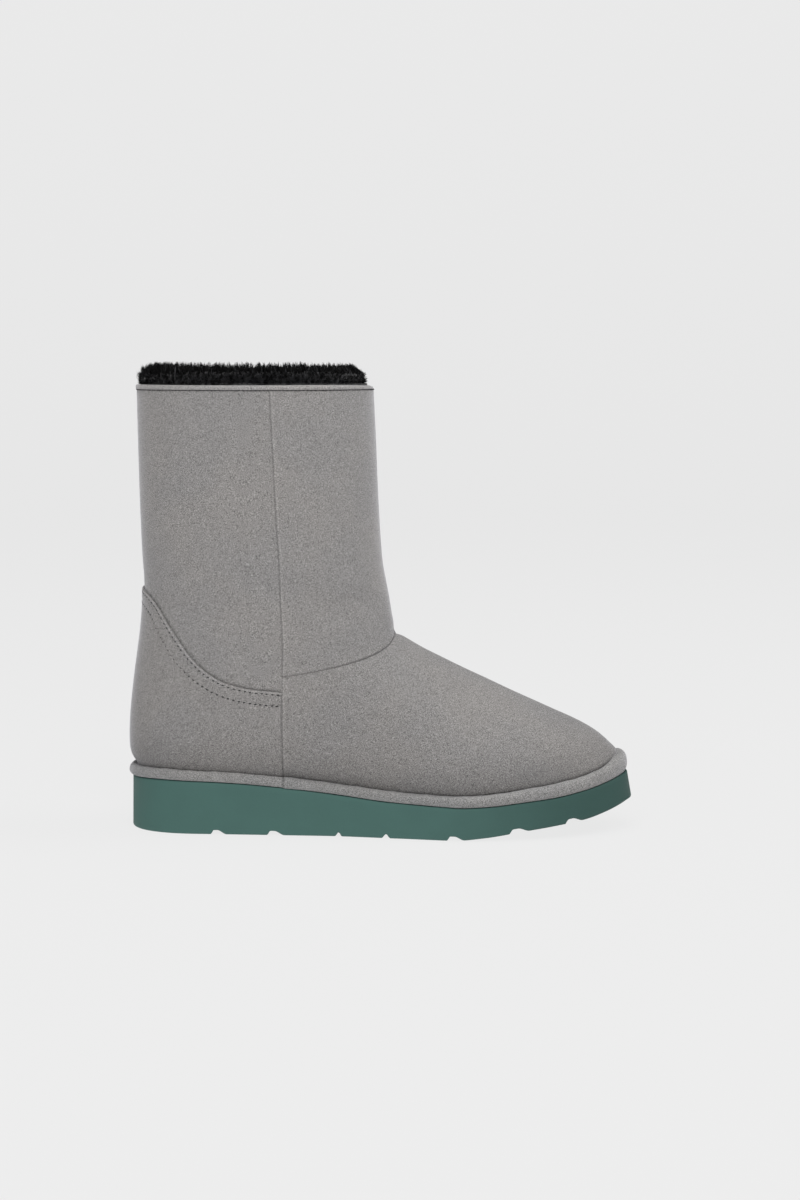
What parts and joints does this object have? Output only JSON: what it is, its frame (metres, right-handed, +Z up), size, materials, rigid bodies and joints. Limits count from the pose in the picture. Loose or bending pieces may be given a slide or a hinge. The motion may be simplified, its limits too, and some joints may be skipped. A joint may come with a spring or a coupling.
{
  "type": "winter boot",
  "caption": "Right-foot pull-on winter boot with a grey suede shaft and vamp, peaked heel counter, rolled rand, teal foam sole with a notched edge and a deep black fur collar.",
  "frame": {"origin": "on the ground, under the middle of the sole's length, on the centre line of the heel", "axes": "+X towards the toe, +Y towards the inner (medial) side of the foot, +Z up out of the collar"},
  "size_m": [0.2955, 0.1091, 0.2717],
  "materials": {
    "suede": "matt napped suede, grey",
    "rand_suede": "matt napped suede, grey",
    "teal_eva": "moulded EVA foam, satin teal",
    "black_fur": "deep black pile",
    "black_fleece": "short black fleece"
  },
  "bodies": {
    "root": {"outsole": "teal_eva", "rand": "rand_suede", "upper": "suede", "heel_counter": "suede", "collar_binding": "suede", "fur_collar": "black_fur", "insole": "black_fleece"}
  },
  "joints": []
}
